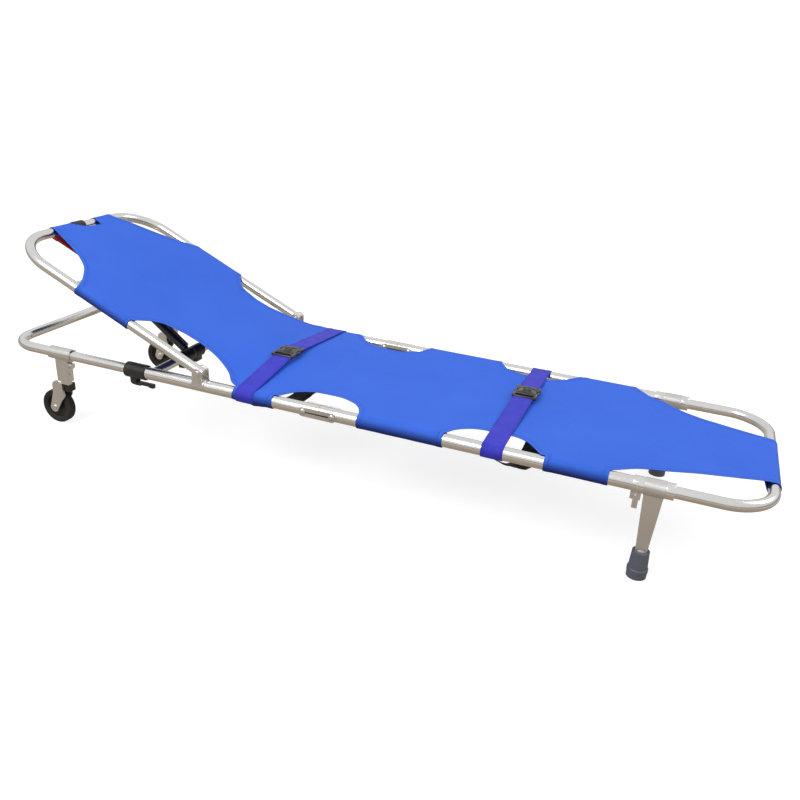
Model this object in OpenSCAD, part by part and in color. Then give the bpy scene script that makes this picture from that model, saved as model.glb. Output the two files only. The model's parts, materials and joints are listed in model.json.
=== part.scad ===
// Folding stretcher: a two-half aluminium rail frame with a raised backrest,
// two wheels at the head, two folding legs at the foot, a cloth bed and two straps.
// X runs along the length (head at -X), Y across, Z up, floor at Z = 0.
// Origin: centre of the overall length and width, on the floor.

/* [Frame] */
// Distance between the two side rail axes
frame_w = 515; // [500:1:530]
// Height of the side rail axes above the floor
rail_z = 218; // [214:1:224]
// Distance from the middle hinge seam to the head end bar axis
head_len = 940; // [930:1:960]
// Distance from the middle hinge seam to the foot end bar axis
foot_len = 1012; // [1005:1:1060]
// Distance from the seam to each hinge pivot
pivot_x = 38; // [36:1:40]

/* [Backrest] */
// Angle of the backrest above level
back_angle = 23.5; // [15:0.5:30]
// Distance from the backrest pivot to its end bar axis
back_len = 612; // [608:1:620]

/* [Running gear] */
// Wheel diameter
wheel_d = 96; // [90:1:100]
// Wheel tyre width
wheel_w = 22; // [20:1:24]
// Rubber foot base diameter
foot_d = 46; // [42:1:48]

/* [Bed] */
// Cloth thickness
cloth_t = 1.1; // [0.9:0.1:1.2]
// Strap webbing width
strap_w = 50; // [40:1:52]

/* [Hidden] */
$fn = 48;
rail_r = 16;
rail_bore = 13.4;
tube_r = 13;
tube_bore = 11;
head_bend = 80;
back_bend = 115;
foot_bend = 100;
seam_gap = 0.75;
plate_r = 12;
side_y = frame_w / 2;
sleeve_gap = 0.5;
sleeve_wall = 2;
cloth_inset = 3;
cloth_y = side_y - cloth_inset;
foot_sleeve_r = tube_r + sleeve_gap + sleeve_wall;
hinge_x = -(foot_len + foot_sleeve_r - head_len - tube_r) / 2;
rail_start = -520;
collar_1 = 731;
leg_x0 = 754;
leg_x1 = 798;
collar_2 = 815;
collar_r = 18.3;
crossbar_x = -478;
crossbar_r = 12;
strut_y = -88;
strut_angle = 35.7;
strut_len = 286.5;
back_x = -332;
back_z = rail_z + 35;
brace_s = 400;
brace_r = 10;
lever_s = 445;
lever_y = -120;
wheel_x = -814;
wheel_y = -side_y + 24;
wheel_r = wheel_d / 2;
fork_y = -side_y + 7.5;
sleeve_x0 = -798;
sleeve_x1 = -728;
foot_x = 775;
foot_y = -side_y - 3;
clamp_x = -530;
clamp_drop = 27;
strap_1_x = -198;
strap_2_x = 425;
buckle_1_y = -30;
buckle_2_y = 45;
strap_t = 1.6;

alu = [0.8, 0.8, 0.8];
dark = [0.06, 0.06, 0.07];
blue = [0.2, 0.35, 0.85];
violet = [0.2, 0.15, 0.65];
red = [0.6, 0.05, 0.04];
slate = [0.27, 0.32, 0.38];

// ---- placing helpers ----

// Puts the hinge seam on the rail axis height at its place along X.
module at_rail(x = 0, y = 0) {
  translate([hinge_x + x, y, rail_z]) children();
}

// Mirrors to the far side.
module far_side() {
  mirror([0, 1, 0]) children();
}

// Both sides at once.
module both_sides() {
  children();
  far_side() children();
}

// The backrest plane: local +X runs up the backrest, local +Z is its upper face.
module at_back() {
  translate([hinge_x + back_x, 0, back_z])
    rotate([0, back_angle, 0])
      mirror([1, 0, 0]) children();
}

// The strut line: local +X runs from the crossbar towards the backrest.
module at_strut() {
  translate([hinge_x + crossbar_x, strut_y, rail_z])
    rotate([0, strut_angle, 0])
      mirror([1, 0, 0]) children();
}

module rod_x(r, x0, x1) {
  translate([x0, 0, 0]) rotate([0, 90, 0]) cylinder(r = r, h = x1 - x0);
}

module rod_y(r, y0, y1) {
  translate([0, y0, 0]) rotate([-90, 0, 0]) cylinder(r = r, h = y1 - y0);
}

module tube_x(ro, ri, x0, x1) {
  difference() {
    rod_x(ro, x0, x1);
    rod_x(ri, x0 - 1, x1 + 1);
  }
}

module tube_y(ro, ri, y0, y1) {
  difference() {
    rod_y(ro, y0, y1);
    rod_y(ri, y0 - 1, y1 + 1);
  }
}

// A U of round bar: arms from x0 to the end bar at x1, side by side at +-side_y.
module u_bar(r, x0, x1, bend) {
  for (m = [0, 1])
    mirror([0, m, 0]) {
      translate([0, -side_y, 0]) rod_x(r, x0, x1 - bend);
      translate([x1 - bend, -side_y + bend, 0])
        rotate([0, 0, -90])
          rotate_extrude(angle = 90) translate([bend, 0]) circle(r = r);
    }
  translate([x1, 0, 0]) rod_y(r, -side_y + bend, side_y - bend);
}

// The bore stops short of the bends so that the pieces join cleanly.
module u_tube(x0, x1, bend) {
  difference() {
    u_bar(tube_r, x0, x1, bend);
    for (y = [-side_y, side_y])
      translate([0, y, 0]) rod_x(tube_bore, x0 - 1, x1 - bend - 20);
  }
}

// ---- head half ----

module head_rail() {
  at_rail(0, -side_y)
    difference() {
      tube_x(rail_r, rail_bore, rail_start, -seam_gap);
      // relief that lets the lower corner swing past the other rail
      difference() {
        translate([-pivot_x + 20, -rail_r - 1, -rail_r - 1])
          cube([pivot_x, 2 * rail_r + 2, rail_r + 1]);
        translate([-pivot_x, 0, 0]) rod_y(pivot_x - 1.2, -rail_r - 2, rail_r + 2);
      }
      translate([-pivot_x, 0, 0]) rod_y(4.08, -rail_r - 2, rail_r + 2);
    }
}

module head_rail_near() {
  color(alu) head_rail();
}

module head_rail_far() {
  color(alu) far_side() head_rail();
}

module head_crossbar() {
  color(alu)
    difference() {
      at_rail(crossbar_x) tube_y(crossbar_r, crossbar_r - 2, -side_y + 3, side_y - 3);
      for (y = [-side_y, side_y]) at_rail(0, y) rod_x(rail_r, crossbar_x - 30, crossbar_x + 30);
    }
}

module crossbar_clamps() {
  color(dark)
    at_rail(crossbar_x)
      for (y = [strut_y - 47, strut_y + 10]) {
        difference() {
          union() {
            rod_y(18, y, y + 37);
            translate([-9, y + 4, -27]) cube([18, 29, 14]);
          }
          rod_y(crossbar_r, y - 1, y + 38);
        }
      }
}

module backrest_brackets() {
  color(alu)
    both_sides()
      difference() {
        union() {
          at_rail(back_x, -side_y) rod_x(18.6, -18, 18);
          for (dy = [-17, 13.8])
            translate([hinge_x + back_x, -side_y + dy, back_z]) {
              rod_y(14, 0, 3.2);
              translate([-14, 0, -30]) cube([28, 3.2, 30]);
            }
        }
        at_rail(back_x, -side_y) rod_x(rail_r, -20, 20);
        at_rail(back_x, -side_y) translate([-20, -25, -25]) cube([40, 50, 25]);
        translate([hinge_x + back_x, -side_y, back_z]) rod_y(4, -20, 20);
      }
}

module backrest_pivot_pins() {
  color(alu)
    both_sides()
      translate([hinge_x + back_x, -side_y, back_z]) {
        rod_y(4, -18, 17.5);
        rod_y(8, -21, -17);
        rod_y(7, 17, 21);
      }
}

module rail_clamps() {
  color(dark)
    both_sides()
      at_rail(0, -side_y)
        difference() {
          union() {
            rod_x(20, -551, -492);
            for (y = [-9.5, 5]) {
              translate([clamp_x - 9, y, -clamp_drop]) cube([18, 4.5, 20]);
              translate([clamp_x, 0, -clamp_drop]) rod_y(9, y, y + 4.5);
            }
          }
          rod_x(rail_r, rail_start, -480);
          rod_x(tube_r + 0.4, -560, rail_start + 1);
          translate([clamp_x, 0, -clamp_drop]) rod_y(3.06, -12, 12);
          translate([-540, -1, 12]) cube([30, 2, 12]);
        }
}

module clamp_lever() {
  translate([hinge_x + clamp_x, -side_y, rail_z - clamp_drop])
    difference() {
      union() {
        rod_y(3, -9.4, 9.4);
        rod_y(6.4, -4.5, 4.5);
        translate([0, -4.5, -12]) cube([58, 9, 10.5]);
      }
      // finger notch under the lever
      translate([18, -5, -13]) cube([26, 10, 3.5]);
    }
}

module clamp_lever_near() {
  color(dark) clamp_lever();
}

module clamp_lever_far() {
  color(dark) far_side() clamp_lever();
}

// Flat cloth outline between two stations with the scalloped edges cut out.
module scallop(x, half, depth) {
  r = (half * half + depth * depth) / (2 * depth);
  for (m = [0, 1])
    mirror([0, m]) translate([x, -side_y + depth - r]) circle(r = r, $fn = 96);
}

// Cloth sleeve around a tube of radius r, between x0 and x1, on both sides.
module cloth_sleeves(r, x0, x1) {
  for (y = [-side_y, side_y])
    translate([0, y, 0]) tube_x(r + sleeve_gap + sleeve_wall, r + sleeve_gap, x0, x1);
}

module head_cloth() {
  color(blue)
    at_rail() {
      translate([0, 0, rail_r + 0.9])
        linear_extrude(height = cloth_t)
          difference() {
            translate([-300, -cloth_y]) square([298, 2 * cloth_y]);
            scallop(0, 102, 72);
            scallop(-330, 90, 72);
          }
      cloth_sleeves(rail_r, -230, -124);
    }
}

// Webbing from the outside of one rail up over the bed to y_end.
module strap_side(x, y_end) {
  at_rail(x) {
    translate([-strap_w / 2, -side_y, rail_r + 3.4])
      cube([strap_w, y_end + side_y, strap_t]);
    difference() {
      translate([0, -side_y, 0])
        tube_x(rail_r + 3.4 + strap_t, rail_r + 3.4, -strap_w / 2, strap_w / 2);
      translate([-strap_w / 2 - 1, -side_y, -40]) cube([strap_w + 2, 40, 80]);
    }
  }
}

module strap_1_near() {
  color(violet) strap_side(strap_1_x, buckle_1_y - 40);
}

module strap_1_far() {
  color(violet) far_side() strap_side(strap_1_x, -buckle_1_y - 40);
}

module strap_2_near() {
  color(violet) strap_side(strap_2_x, buckle_2_y - 40);
}

module strap_2_far() {
  color(violet) far_side() strap_side(strap_2_x, -buckle_2_y - 40);
}

// Side release buckle socket: open frame body with two finger windows.
module buckle_socket(x, y) {
  at_rail(x, y)
    translate([0, 0, rail_r + 9.5])
      difference() {
        translate([-31, -39, -6]) cube([62, 47, 12]);
        translate([-27, -36, -7]) cube([54, 8, 14]);
        for (s = [-1, 1]) translate([s * 31, -8, 0]) cube([14, 22, 14], center = true);
      }
}

module buckle_plug(x, y) {
  at_rail(x, y)
    translate([0, 0, rail_r + 9.5])
      difference() {
        translate([-29, 8.4, -5]) cube([58, 30, 10]);
        translate([-25, 27, -6]) cube([50, 8, 12]);
      }
}

module buckle_1_socket() {
  color(dark) buckle_socket(strap_1_x, buckle_1_y);
}

module buckle_1_plug() {
  color(dark) buckle_plug(strap_1_x, buckle_1_y);
}

module buckle_2_socket() {
  color(dark) buckle_socket(strap_2_x, buckle_2_y);
}

module buckle_2_plug() {
  color(dark) buckle_plug(strap_2_x, buckle_2_y);
}

// ---- telescoping head end with its wheels ----

module head_end_tube() {
  color(alu) at_rail() mirror([1, 0, 0]) u_tube(330, head_len, head_bend);
}

// Side cheek of the wheel fork: a curved pill from the axle up to the leg.
module fork_cheek(y0, y1) {
  translate([hinge_x + wheel_x, wheel_y, wheel_r]) {
    rod_y(13, y0, y1);
    translate([18, 0, 42]) rod_y(19, y0, y1);
    translate([17, 0, 66]) rod_y(17, y0, y1);
    translate([0, y1, 0])
      rotate([90, 0, 0])
        linear_extrude(height = y1 - y0)
          polygon([[-12, 4], [-0.5, 44], [0.5, 66], [33, 66], [36.5, 40], [11.5, -5]]);
  }
}

// Bracket that turns on the thin tube and carries one wheel.
module wheel_bracket() {
  difference() {
    union() {
      at_rail(0, -side_y) rod_x(17, sleeve_x0, sleeve_x1);
      // tapered leg under the sleeve
      translate([hinge_x, fork_y + 14, 0])
        rotate([90, 0, 0])
          linear_extrude(height = 14)
            polygon([[-797, rail_z - 8], [-757, rail_z - 8], [-759, 124], [-794, 124]]);
      // slotted rear stay
      translate([hinge_x - 762, fork_y + 1, 140]) cube([18, 5, rail_z - 148]);
      // crown over the wheel
      translate([hinge_x - 808, fork_y, 112]) cube([22, 32.5, 14]);
      fork_cheek(-wheel_w / 2 - 8, -wheel_w / 2 - 2);
      fork_cheek(wheel_w / 2 + 2, wheel_w / 2 + 5);
    }
    at_rail(0, -side_y) rod_x(tube_r + 0.4, sleeve_x0 - 5, sleeve_x1 + 5);
    translate([hinge_x + wheel_x, wheel_y, wheel_r]) rod_y(4, -40, 40);
    // slot in the rear stay
    translate([hinge_x - 755, fork_y - 1, 156]) cube([6, 10, 24]);
    // slit along the sleeve
    at_rail(sleeve_x1, -side_y) translate([-43, 8, 8]) cube([50, 12, 1.5]);
  }
}

// Black block between the cheeks, behind the crown and clear of the tyre.
module wheel_guard() {
  translate([hinge_x - 786, wheel_y - 12, wheel_d + 5]) cube([24, 24, 22]);
}

module wheel_axle() {
  translate([hinge_x + wheel_x, wheel_y, wheel_r]) {
    rod_y(4, -wheel_w / 2 - 9, wheel_w / 2 + 6);
    rod_y(7, -wheel_w / 2 - 11, -wheel_w / 2 - 8);
    rod_y(7, wheel_w / 2 + 5, wheel_w / 2 + 10);
  }
}

// Latch plate behind the bracket with a round knob.
module wheel_latch() {
  translate([hinge_x - 744, -side_y, 189]) {
    rod_x(3, 0, 8);
    rod_x(8, 4, 14);
    translate([0, -8, -14]) cube([3.5, 16, 24]);
  }
}

module tyre() {
  translate([hinge_x + wheel_x, wheel_y, wheel_r])
    rotate([90, 0, 0])
      rotate_extrude($fn = 96)
        difference() {
          union() {
            translate([31, -wheel_w / 2]) square([wheel_r - 34, wheel_w]);
            translate([31, -wheel_w / 2 + 4]) square([wheel_r - 31, wheel_w - 8]);
            for (y = [-1, 1])
              translate([wheel_r - 4, y * (wheel_w / 2 - 4)]) circle(r = 4, $fn = 24);
          }
          translate([28, -3]) square([5, 6]);
        }
}

module wheel_hub() {
  translate([hinge_x + wheel_x, wheel_y, wheel_r]) {
    difference() {
      union() {
        rod_y(31, -6, 6);
        rod_y(11, -wheel_w / 2 - 1, wheel_w / 2 + 1);
      }
      rod_y(4.08, -wheel_w, wheel_w);
      for (y = [-7, 3]) tube_y(26, 14, y, y + 4);
    }
  }
}

module wheel_bracket_near() {
  color(alu) wheel_bracket();
}

module wheel_bracket_far() {
  color(alu) far_side() wheel_bracket();
}

module wheel_axle_near() {
  color(alu) wheel_axle();
}

module wheel_axle_far() {
  color(alu) far_side() wheel_axle();
}

module wheel_guard_near() {
  color(dark) wheel_guard();
}

module wheel_guard_far() {
  color(dark) far_side() wheel_guard();
}

module wheel_latch_near() {
  color(dark) wheel_latch();
}

module wheel_latch_far() {
  color(dark) far_side() wheel_latch();
}

module tyre_near() {
  color(dark) tyre();
}

module tyre_far() {
  color(dark) far_side() tyre();
}

module wheel_hub_near() {
  color(dark) wheel_hub();
}

module wheel_hub_far() {
  color(dark) far_side() wheel_hub();
}

// ---- backrest ----

module backrest_frame() {
  color(alu)
    at_back()
      difference() {
        u_tube(-6, back_len, back_bend);
        for (y = [-side_y, side_y]) translate([0, y, 0]) rod_y(4.08, -20, 20);
      }
}

module backrest_end_caps() {
  color(alu)
    at_back()
      for (y = [-side_y, side_y])
        translate([0, y, 0]) rod_x(tube_r, -9, -6);
}

module backrest_brace() {
  color(alu)
    at_back()
      difference() {
        translate([brace_s, 0, 0]) tube_y(brace_r, brace_r - 2, -side_y + 3, side_y - 3);
        for (y = [-side_y, side_y])
          translate([0, y, 0]) rod_x(tube_r, brace_s - 30, brace_s + 30);
      }
}

// Two ears under the brace that take the strut's upper eye.
module strut_bracket() {
  color(alu)
    at_back()
      difference() {
        for (y = [strut_y - 11.5, strut_y + 8.5])
          translate([brace_s, y, 0]) {
            rod_y(14, 0, 3);
            translate([-11, 0, -30]) cube([22, 3, 30]);
            translate([0, 0, -30]) rod_y(11, 0, 3);
          }
        translate([brace_s, 0, 0]) rod_y(brace_r, strut_y - 20, strut_y + 20);
        translate([brace_s, 0, -30]) rod_y(4.2, strut_y - 20, strut_y + 20);
      }
}

module lever_bracket() {
  color(alu)
    at_back()
      difference() {
        translate([brace_s, -133, 4.4]) cube([56, 26, 3]);
        translate([brace_s, 0, 0]) rod_y(brace_r, -140, -100);
        translate([lever_s, lever_y, 0]) cylinder(r = 3.06, h = 10);
      }
}

module release_lever() {
  color(red)
    at_back()
      translate([lever_s, lever_y, 0]) {
        cylinder(r = 3, h = 7.2);
        cylinder(r = 10, h = 4);
        translate([0, -10, 0]) cube([130, 20, 4]);
        translate([130, -13, 0]) cube([15, 26, 4]);
      }
}

module head_clip() {
  color(dark)
    at_back()
      translate([back_len, 0, 0]) {
        tube_y(16.5, tube_r, -30, 8);
        translate([-34, -26, -3]) cube([18.5, 30, 5]);
      }
}

module backrest_cloth() {
  color(blue)
    at_back() {
      translate([0, 0, tube_r + 0.9])
        linear_extrude(height = cloth_t)
          difference() {
            polygon([[70, -side_y + 75], [212, -cloth_y], [400, -cloth_y], [430, -215],
              [505, -146], [back_len - 3, -112], [back_len - 3, 112], [505, 146], [430, 215],
              [400, cloth_y], [212, cloth_y], [70, side_y - 75]]);
            translate([back_len - 38, -35]) square([50, 90]);
          }
      cloth_sleeves(tube_r, 220, 386);
      for (y = [-115, 57])
        translate([back_len, 0, 0])
          tube_y(foot_sleeve_r, tube_r + sleeve_gap, y, y < 0 ? -37 : 115);
    }
}

// ---- strut ----

module strut_cylinder() {
  color(dark)
    at_strut()
      difference() {
        union() {
          rod_y(17, -9.5, 9.5);
          rod_x(9.4, 12, 20);
          rod_x(11, 19, 178);
          rod_x(12.5, 160, 178);
        }
        rod_y(crossbar_r + 0.4, -12, 12);
        rod_x(5.4, 60, 190);
      }
}

module strut_guide_bar() {
  color(alu)
    at_strut()
      difference() {
        translate([24, 12.5, -9]) cube([170, 3, 18]);
        for (x = [40:24:170]) translate([x, 10, -3]) cube([14, 8, 6]);
      }
}

module strut_rod() {
  color(alu)
    at_strut() {
      rod_x(5, 125, strut_len - 3);
      translate([strut_len, 0, 0]) {
        rod_y(6, -6.5, 6.5);
        rod_y(4, -8, 8);
      }
    }
}

// ---- middle hinge ----

// One obround link plate, y is its inner or outer face offset from the rail axis.
module hinge_plate(y) {
  difference() {
    translate([0, y, 0]) {
      for (x = [-pivot_x, pivot_x]) translate([x, 0, 0]) rod_y(plate_r, 0, 3);
      translate([-pivot_x, 0, -plate_r]) cube([2 * pivot_x, 3, 2 * plate_r]);
    }
    for (x = [-pivot_x, pivot_x]) translate([x, 0, 0]) rod_y(4, y - 1, y + 4);
  }
}

module hinge_plates() {
  at_rail(0, -side_y) {
    hinge_plate(-19.4);
    hinge_plate(16.4);
  }
}

module hinge_plates_near() {
  color(alu) hinge_plates();
}

module hinge_plates_far() {
  color(alu) far_side() hinge_plates();
}

module hinge_rivets() {
  color(alu)
    both_sides()
      at_rail(0, -side_y)
        for (x = [-pivot_x, pivot_x])
          translate([x, 0, 0]) {
            rod_y(4, -19.4, 19.4);
            for (m = [0, 1])
              mirror([0, m, 0])
                intersection() {
                  translate([0, -12, 0]) sphere(r = 12, $fn = 64);
                  rod_y(8, -24, -19.4);
                }
          }
}

// ---- foot half ----

module foot_rail() {
  at_rail(0, -side_y)
    difference() {
      tube_x(rail_r, rail_bore, seam_gap, collar_2 - 1);
      difference() {
        translate([-20, -rail_r - 1, -rail_r - 1])
          cube([pivot_x, 2 * rail_r + 2, rail_r + 1]);
        translate([pivot_x, 0, 0]) rod_y(pivot_x - 1.2, -rail_r - 2, rail_r + 2);
      }
      translate([pivot_x, 0, 0]) rod_y(4.08, -rail_r - 2, rail_r + 2);
    }
}

module foot_rail_near() {
  color(alu) foot_rail();
}

module foot_rail_far() {
  color(alu) far_side() foot_rail();
}

module foot_end_tube() {
  color(alu) at_rail() u_tube(collar_1 - 20, foot_len, foot_bend);
}

module rail_collars() {
  color(alu)
    both_sides()
      at_rail(0, -side_y) {
        tube_x(collar_r, rail_r, collar_1, leg_x0 - 0.5);
        tube_x(collar_r, rail_r, leg_x1 + 0.5, collar_2 - 1);
        tube_x(collar_r, tube_r, collar_2 - 1, collar_2 + 1);
      }
}

module leg_latch_blocks() {
  color(alu)
    both_sides()
      difference() {
        at_rail(collar_1 - 2, -side_y) translate([0, -9, -33]) cube([22, 18, 20]);
        at_rail(0, -side_y) rod_x(collar_r, collar_1 - 10, leg_x0);
      }
}

module foot_cloth() {
  color(blue)
    at_rail() {
      translate([0, 0, rail_r + 0.9])
        linear_extrude(height = cloth_t)
          difference() {
            polygon([[2, -cloth_y], [672, -cloth_y], [700, -225], [794, -186], [941, -147],
              [foot_len - 20, -143], [foot_len - 20, 94], [941, 115], [794, 168], [700, 222],
              [672, cloth_y], [2, cloth_y]]);
            scallop(0, 94, 70);
            scallop(425, 111, 61);
          }
      cloth_sleeves(rail_r, 99, 309);
      cloth_sleeves(rail_r, 541, 680);
      // end sleeve round the foot bar, joined by a strip that steps down to it
      translate([foot_len, 0, 0]) tube_y(foot_sleeve_r, tube_r + sleeve_gap, -147, 97);
      translate([foot_len - 30, -140, tube_r + 0.9]) cube([27, 231, 3.6]);
    }
}

// ---- folding legs ----

module leg() {
  difference() {
    union() {
      at_rail(0, -side_y) rod_x(19.4, leg_x0, leg_x1);
      translate([hinge_x, foot_y + 7, 0])
        rotate([90, 0, 0])
          linear_extrude(height = 14)
            polygon([[leg_x0 + 1, rail_z - 10], [leg_x1 - 1, rail_z - 10], [foot_x + 12.5, 64],
              [foot_x - 12.5, 64]]);
      translate([hinge_x + foot_x, foot_y, 24]) cylinder(r = 11, h = 42);
    }
    at_rail(0, -side_y) rod_x(rail_r + 0.4, leg_x0 - 5, leg_x1 + 5);
  }
}

module rubber_foot() {
  translate([hinge_x + foot_x, foot_y, 0])
    rotate_extrude($fn = 64)
      polygon([[0, 0], [foot_d / 2 - 1, 0], [foot_d / 2 - 1, 13], [foot_d / 2, 14],
        [foot_d / 2, 22], [foot_d / 2 - 2, 24], [19, 60], [19, 64], [11, 64], [11, 24], [0, 24]]);
}

module leg_near() {
  color(alu) leg();
}

module leg_far() {
  color(alu) far_side() leg();
}

module rubber_foot_near() {
  color(slate) rubber_foot();
}

module rubber_foot_far() {
  color(slate) far_side() rubber_foot();
}

// Thumb tab that hangs beside the top of the leg.
module leg_tab() {
  translate([hinge_x + 741, -side_y - 13.5, rail_z - 27]) {
    rod_y(5, 0, 4);
    translate([-5, 0, -24]) cube([12, 4, 24]);
  }
}

module leg_tab_near() {
  color(alu) leg_tab();
}

module leg_tab_far() {
  color(alu) far_side() leg_tab();
}

head_rail_near();
head_rail_far();
head_crossbar();
crossbar_clamps();
backrest_brackets();
backrest_pivot_pins();
rail_clamps();
head_cloth();
strap_1_near();
strap_1_far();
buckle_1_socket();
buckle_1_plug();
clamp_lever_near();
clamp_lever_far();
head_end_tube();
wheel_bracket_near();
wheel_bracket_far();
wheel_axle_near();
wheel_axle_far();
wheel_guard_near();
wheel_guard_far();
wheel_latch_near();
wheel_latch_far();
tyre_near();
tyre_far();
wheel_hub_near();
wheel_hub_far();
backrest_frame();
backrest_end_caps();
backrest_brace();
strut_bracket();
lever_bracket();
head_clip();
backrest_cloth();
release_lever();
strut_cylinder();
strut_guide_bar();
strut_rod();
hinge_plates_near();
hinge_plates_far();
hinge_rivets();
foot_rail_near();
foot_rail_far();
foot_end_tube();
rail_collars();
leg_latch_blocks();
foot_cloth();
strap_2_near();
strap_2_far();
buckle_2_socket();
buckle_2_plug();
leg_near();
leg_far();
rubber_foot_near();
rubber_foot_far();
leg_tab_near();
leg_tab_far();
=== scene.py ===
"""Folding stretcher: cloth bed, straps, buckles, materials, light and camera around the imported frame.

Lengths in the tables and functions below are millimetres from the middle hinge seam, along X,
from the centre line, along Y, and above the floor, along Z. to_frame() turns them into metres.
"""

import json
import math

import bmesh
import bpy
import numpy as np
from mathutils import Matrix, Vector, noise


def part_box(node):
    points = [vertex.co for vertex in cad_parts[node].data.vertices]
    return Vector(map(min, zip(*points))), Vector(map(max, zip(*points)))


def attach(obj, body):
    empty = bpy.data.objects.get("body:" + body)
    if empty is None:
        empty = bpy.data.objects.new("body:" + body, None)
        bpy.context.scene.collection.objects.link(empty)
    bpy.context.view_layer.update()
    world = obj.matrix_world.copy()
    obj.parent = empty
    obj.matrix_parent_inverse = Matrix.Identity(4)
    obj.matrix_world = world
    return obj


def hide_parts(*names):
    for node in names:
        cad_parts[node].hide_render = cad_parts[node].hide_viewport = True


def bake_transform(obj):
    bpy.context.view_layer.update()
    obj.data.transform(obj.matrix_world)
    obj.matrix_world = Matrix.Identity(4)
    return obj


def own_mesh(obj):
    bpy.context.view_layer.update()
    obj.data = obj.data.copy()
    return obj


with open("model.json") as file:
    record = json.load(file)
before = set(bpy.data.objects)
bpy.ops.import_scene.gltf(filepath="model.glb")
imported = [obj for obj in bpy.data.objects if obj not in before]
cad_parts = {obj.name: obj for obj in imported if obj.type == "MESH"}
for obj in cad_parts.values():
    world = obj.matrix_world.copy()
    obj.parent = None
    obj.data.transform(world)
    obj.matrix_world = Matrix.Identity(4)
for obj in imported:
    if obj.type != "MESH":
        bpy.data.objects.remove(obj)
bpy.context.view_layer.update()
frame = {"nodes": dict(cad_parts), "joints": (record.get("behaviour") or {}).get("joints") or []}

MM = 0.001


def node_centre(name):
    low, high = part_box(name)
    return (low + high) / 2


def joint_named(name):
    return next(j for j in frame["joints"] if j["name"] == name)


HINGE_X = node_centre("hinge_rivets").x
RAIL_Z = node_centre("hinge_rivets").z / MM
SIDE_Y = -node_centre("head_rail_near").y / MM
RAIL_R = (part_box("head_rail_far")[1].y / MM) - SIDE_Y
TUBE_R = (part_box("foot_end_tube")[1].z / MM) - RAIL_Z
FOOT_BAR_X = (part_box("foot_end_tube")[1].x - HINGE_X) / MM - TUBE_R
PIVOT = node_centre("backrest_pivot_pins")
PIVOT_X = (PIVOT.x - HINGE_X) / MM
PIVOT_Z = PIVOT.z / MM
LEVER_AXIS = joint_named("release_squeeze")["axis"]
BACK_ANGLE = math.atan2(LEVER_AXIS[0], LEVER_AXIS[2])
UP_BACK = np.array([-math.cos(BACK_ANGLE), math.sin(BACK_ANGLE)])
OUT_BACK = np.array([math.sin(BACK_ANGLE), math.cos(BACK_ANGLE)])
BACK_END_X = (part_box("backrest_frame")[0].x - HINGE_X) / MM + TUBE_R
BACK_LEN = (PIVOT_X - BACK_END_X) / math.cos(BACK_ANGLE)

CLOTH_T = 1.1
SLEEVE_GAP = 0.65 + CLOTH_T / 2
BED_Z = RAIL_Z + RAIL_R + SLEEVE_GAP
HEM = 14
HEM_RISE = 0.45
STATION_STEP = 5
WRAP_END = math.radians(245)
WRAP_STEP = math.radians(15)
RIPPLE_SEED = 3.1


def wrap_tail(radius):
    """Length of the straight end of a wrap, from the tube back up to just under the cloth."""
    return (radius * (1 - math.cos(WRAP_END)) - 1.9 * CLOTH_T) / -math.sin(WRAP_END)


def to_frame(points):
    """Points in millimetres from the hinge seam, as metres in the model's frame."""
    return np.array(points, float) * MM + (HINGE_X, 0, 0)


def smooth_through(points, t):
    """Values at t of a smooth line through (place, value) points that never overshoots them."""
    x, y = np.array(points, float).T
    step = np.diff(x)
    slope = np.diff(y) / step
    product = slope[:-1] * slope[1:]
    total = np.where(product > 0, slope[:-1] + slope[1:], 1)
    middle = np.where(product > 0, 2 * product / total, 0)
    tangent = np.concatenate([slope[:1], middle, slope[-1:]])
    t = np.clip(np.asarray(t, float), x[0], x[-1])
    i = np.clip(np.searchsorted(x, t) - 1, 0, len(step) - 1)
    u = (t - x[i]) / step[i]
    rise = u * u * (3 - 2 * u)
    return (
        y[i] * (1 - rise)
        + y[i + 1] * rise
        + step[i] * (tangent[i] * u * (1 - u) ** 2 - tangent[i + 1] * u * u * (1 - u))
    )


def ease(low, high, value):
    """0 below low, 1 above high, and smooth between them."""
    t = np.clip((value - low) / (high - low), 0, 1)
    return t * t * (3 - 2 * t)


# ---------------------------------------------------------------- camera, light, floor

LENS = 36.76
SENSOR = 36
CAMERA_AT = (HINGE_X + 0.764, -1.8594, 1.0313)
CAMERA_YAW = math.radians(19.447)
CAMERA_PITCH = math.radians(-23.501)
CAMERA_ROLL = math.radians(4.081)


def make_camera():
    data = bpy.data.cameras.new("camera")
    data.lens = LENS
    data.sensor_width = SENSOR
    camera = bpy.data.objects.new("camera", data)
    forward = Vector((
        -math.sin(CAMERA_YAW) * math.cos(CAMERA_PITCH),
        math.cos(CAMERA_YAW) * math.cos(CAMERA_PITCH),
        math.sin(CAMERA_PITCH),
    ))
    level_right = forward.cross(Vector((0, 0, 1))).normalized()
    level_up = level_right.cross(forward)
    right = math.cos(CAMERA_ROLL) * level_right + math.sin(CAMERA_ROLL) * level_up
    up = math.cos(CAMERA_ROLL) * level_up - math.sin(CAMERA_ROLL) * level_right
    turn = Matrix((right, up, -forward)).transposed().to_4x4()
    camera.matrix_world = Matrix.Translation(CAMERA_AT) @ turn
    bpy.context.scene.collection.objects.link(camera)
    bpy.context.scene.camera = camera


def area_light(name, place, target, size, power):
    data = bpy.data.lights.new(name, "AREA")
    data.shape = "DISK"
    data.size = size
    data.energy = power
    light = bpy.data.objects.new(name, data)
    light.location = place
    aim = Vector(target) - Vector(place)
    light.rotation_mode = "QUATERNION"
    light.rotation_quaternion = aim.to_track_quat("-Z", "Y")
    bpy.context.scene.collection.objects.link(light)


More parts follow.
